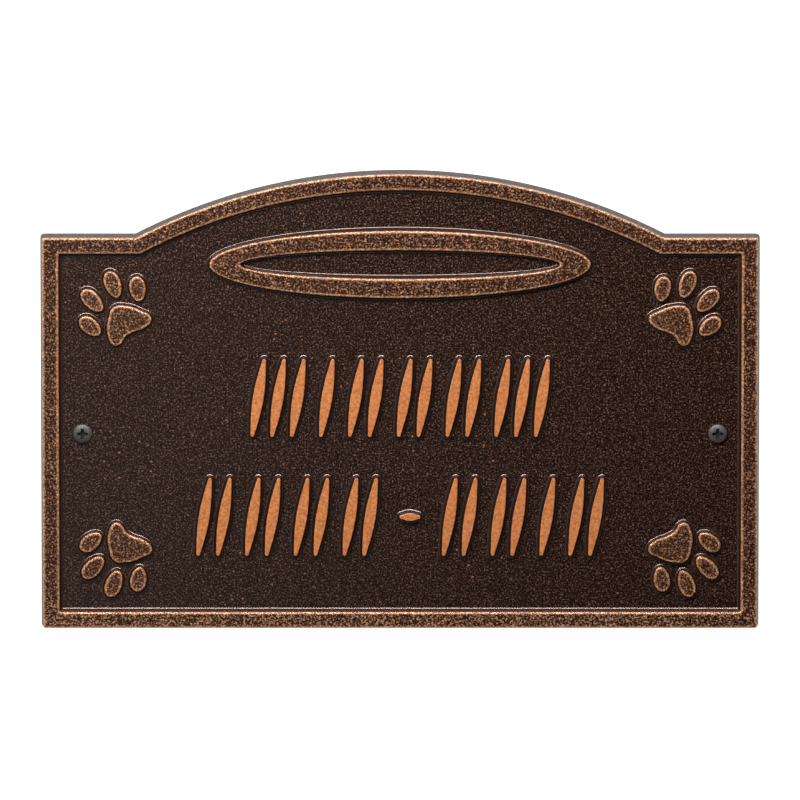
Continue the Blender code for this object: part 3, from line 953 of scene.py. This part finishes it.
# %% Copper paint on the strokes
CLOUD = 1.1 * MM
BRUSH_DEPTH = 0.02 * MM
COPPER_PAINT = ((0.36, "9A5A2E"), (0.64, "BC7644"))
PAINT_METAL = 0.15
PAINT_ROUGHNESS = 0.42
tree = node_tree(finishes[PAINTED])
colour, grain, place, rim, pooled = enamel_coat(tree)
paint = add(tree, "MapRange", {"Value": rim, 1: -0.05, 2: 0.06}, **SOFT).outputs[0]
cloud = {"Vector": place, "Scale": per(CLOUD), "Detail": 3.0}
cloud = add(tree, "TexNoise", cloud).outputs["Fac"]
shade = add(tree, "ValToRGB", {"Fac": cloud}, COPPER_PAINT).outputs["Color"]
mixed = add(tree, "Mix", {0: paint, 6: colour, 7: shade}, **COLOURS).outputs[2]
metal = add(tree, "MapRange", {"Value": paint, 3: WASH_METAL, 4: PAINT_METAL}).outputs[0]
surface(tree, mixed, metal, PAINT_ROUGHNESS, cloud, BRUSH_DEPTH)
print(finishes[PAINTED].name, len(tree.nodes), "nodes")

# %% [markdown]
# The screws are dull zinc-plated steel: a grey metal with a soft gloss, whose plating is a
# little cloudy. Inside the recess the same steel is painted darker, as painted shade.

# %% Dull plated steel, and a darker copy as painted shade in the recess
PLATING_CLOUD = 1.2 * MM
PLATING_DEPTH = 0.03 * MM
STEEL_METAL = 0.5
STEEL_ROUGHNESS = 0.5
# The second steel is the same metal painted darker, as shade inside the recess
STEELS = ((steel, "3A3633", "57514D"), (recess_painted_shade_steel, "12100F", "23201E"))
for finish, dark, light in STEELS:
    tree = node_tree(finish)
    place = add(tree, "TexCoord", {}).outputs["Object"]
    cloud = {"Vector": place, "Scale": per(PLATING_CLOUD), "Detail": 4.0, "Roughness": 0.6}
    cloud = add(tree, "TexNoise", cloud).outputs["Fac"]
    shade = add(tree, "ValToRGB", {"Fac": cloud}, ((0.3, dark), (0.7, light))).outputs["Color"]
    surface(tree, shade, STEEL_METAL, STEEL_ROUGHNESS, cloud, PLATING_DEPTH)
    print(finish.name, len(tree.nodes), "nodes")

# %% Count the faces of each finish
for piece in [casting] + screws:
    for number, finish in enumerate(piece.data.materials):
        faces = sum(face.material_index == number for face in piece.data.polygons)
        print(piece.name, finish.name, faces, "faces")

# %% Ride on the frame
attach(casting, "root")
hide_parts("plaque")
for screw, node in zip(screws, ("left_screw", "right_screw")):
    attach(screw, "root")
    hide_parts(node)
print("pieces on the root body", 1 + len(screws))

# %% [markdown]
# The studio: a wide pale floor, a dim sky that is darkest overhead, and most light from a long
# strip lamp beyond the marker's top edge. The dark sky keeps the enamel dark, and the strip lamp
# draws the light lines in the fillets. A faint panel on the left makes that side of the field a
# little lighter.

# %% The floor
FLOOR_SIZE = 60
FLOOR_DROP = 0.2 * MM
FIBRE = 4 * MM
PAPER_DARK, PAPER_LIGHT = 0.24, 0.27
PAPER_GLOW = 0.95
bpy.ops.object.select_all(action="DESELECT")
bpy.ops.mesh.primitive_plane_add(size=FLOOR_SIZE, location=(0, 0, -FLOOR_DROP))
floor = bpy.context.object
floor.name = "studio_floor"
paper = bpy.data.materials.new("white_paper_floor")
tree = node_tree(paper)
place = add(tree, "TexCoord", {}).outputs["Object"]
fibre = add(tree, "TexNoise", {"Vector": place, "Scale": per(FIBRE)}).outputs["Fac"]
shade = add(tree, "MapRange", {"Value": fibre, 3: PAPER_DARK, 4: PAPER_LIGHT}).outputs[0]
colour = add(tree, "CombineColor", {0: shade, 1: shade, 2: shade}).outputs[0]
glow = {"Emission Color": (1, 1, 1, 1), "Emission Strength": PAPER_GLOW}
shader = add(tree, "BsdfPrincipled", {"Base Color": colour, "Roughness": 0.9, **glow})
add(tree, "OutputMaterial", {"Surface": shader.outputs[0]})
floor.data.materials.append(paper)
floor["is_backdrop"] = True
print("floor", FLOOR_SIZE, "m square")

# %% The sky
OVERHEAD = 0.02
BAND = 0.15
OVERHEAD_FROM, BAND_BELOW = 0.93, 0.48
world = bpy.data.worlds.new("soft_studio")
bpy.context.scene.world = world
world.use_nodes = True
tree = world.node_tree
tree.nodes.clear()
direction = add(tree, "TexCoord", {}).outputs["Generated"]
height = add(tree, "SeparateXYZ", {"Vector": direction}).outputs["Z"]
band = {"Value": height, 1: OVERHEAD_FROM, 2: BAND_BELOW, 3: OVERHEAD, 4: BAND}
band = add(tree, "MapRange", band, **SOFT).outputs[0]
sky = add(tree, "Background", {"Color": (1, 1, 1, 1), "Strength": band})
add(tree, "OutputWorld", {"Surface": sky.outputs[0]})
print("sky", OVERHEAD, "overhead and", BAND, "lower down")

# %% The strip lamp beyond the top edge
LAMP_FROM_OVERHEAD = 44.0
LAMP_TO_LEFT = 12.0
LAMP_DISTANCE = 0.75
LAMP_LENGTH = 1.0
LAMP_DEPTH = 0.112
LAMP_BRIGHTNESS = 44.0
lean = radians(LAMP_FROM_OVERHEAD)
swing = radians(LAMP_TO_LEFT)
lamp_direction = Vector((-sin(lean) * sin(swing), sin(lean) * cos(swing), cos(lean)))
bpy.ops.object.light_add(type="AREA", location=lamp_direction * LAMP_DISTANCE)
lamp = bpy.context.object
lamp.name = "strip_lamp"
lamp.rotation_euler = lamp_direction.to_track_quat("Z", "Y").to_euler()
lamp.data.shape = "RECTANGLE"
lamp.data.size = LAMP_LENGTH
lamp.data.size_y = LAMP_DEPTH
lamp.data.energy = LAMP_BRIGHTNESS * pi * LAMP_LENGTH * LAMP_DEPTH
lamp.visible_camera = False
print("strip lamp", round(lamp.data.energy), "W")

# %% A faint panel overhead on the left
PANEL_SIDE = 1.1
PANEL_BRIGHTNESS = 0.3
PANEL_PLACE = (-0.62, -0.18, 1.0)
bpy.ops.object.light_add(type="AREA", location=PANEL_PLACE)
panel = bpy.context.object
panel.name = "faint_panel"
panel.data.size = PANEL_SIDE
panel.data.energy = PANEL_BRIGHTNESS * pi * PANEL_SIDE**2
panel.visible_camera = False
print("faint panel", round(panel.data.energy, 1), "W")

# %% [markdown]
# The camera looks almost straight down through a very long lens, from ten degrees towards the
# marker's top edge, so that a thin strip of the arch's side wall shows.

# %% The camera
CAMERA_TILT = 10.0
CAMERA_DISTANCE = 6.5
VIEW_WIDTH = 0.3391
SENSOR_WIDTH = 36
AIM = Vector((-0.00003, 0.0008, TOP_Z))
bpy.ops.object.camera_add(rotation=(-radians(CAMERA_TILT), 0, 0))
camera = bpy.context.object
camera.name = "photo_camera"
tilt = radians(CAMERA_TILT)
camera.location = AIM + CAMERA_DISTANCE * Vector((0, sin(tilt), cos(tilt)))
camera.data.sensor_width = SENSOR_WIDTH
camera.data.lens = SENSOR_WIDTH * CAMERA_DISTANCE / VIEW_WIDTH
camera.data.clip_start = 0.1
camera.data.clip_end = 100
bpy.context.scene.camera = camera
bpy.context.scene.view_settings.view_transform = "Standard"
print("lens", round(camera.data.lens), "mm on a", SENSOR_WIDTH, "mm sensor")

# %% Keep both boxes and finish
visual_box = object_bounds()
boxes = {"cad": cad_box, "visual": visual_box}
boxes = {name: [list(corner) for corner in box] for name, box in boxes.items()}
print("boxes", boxes)
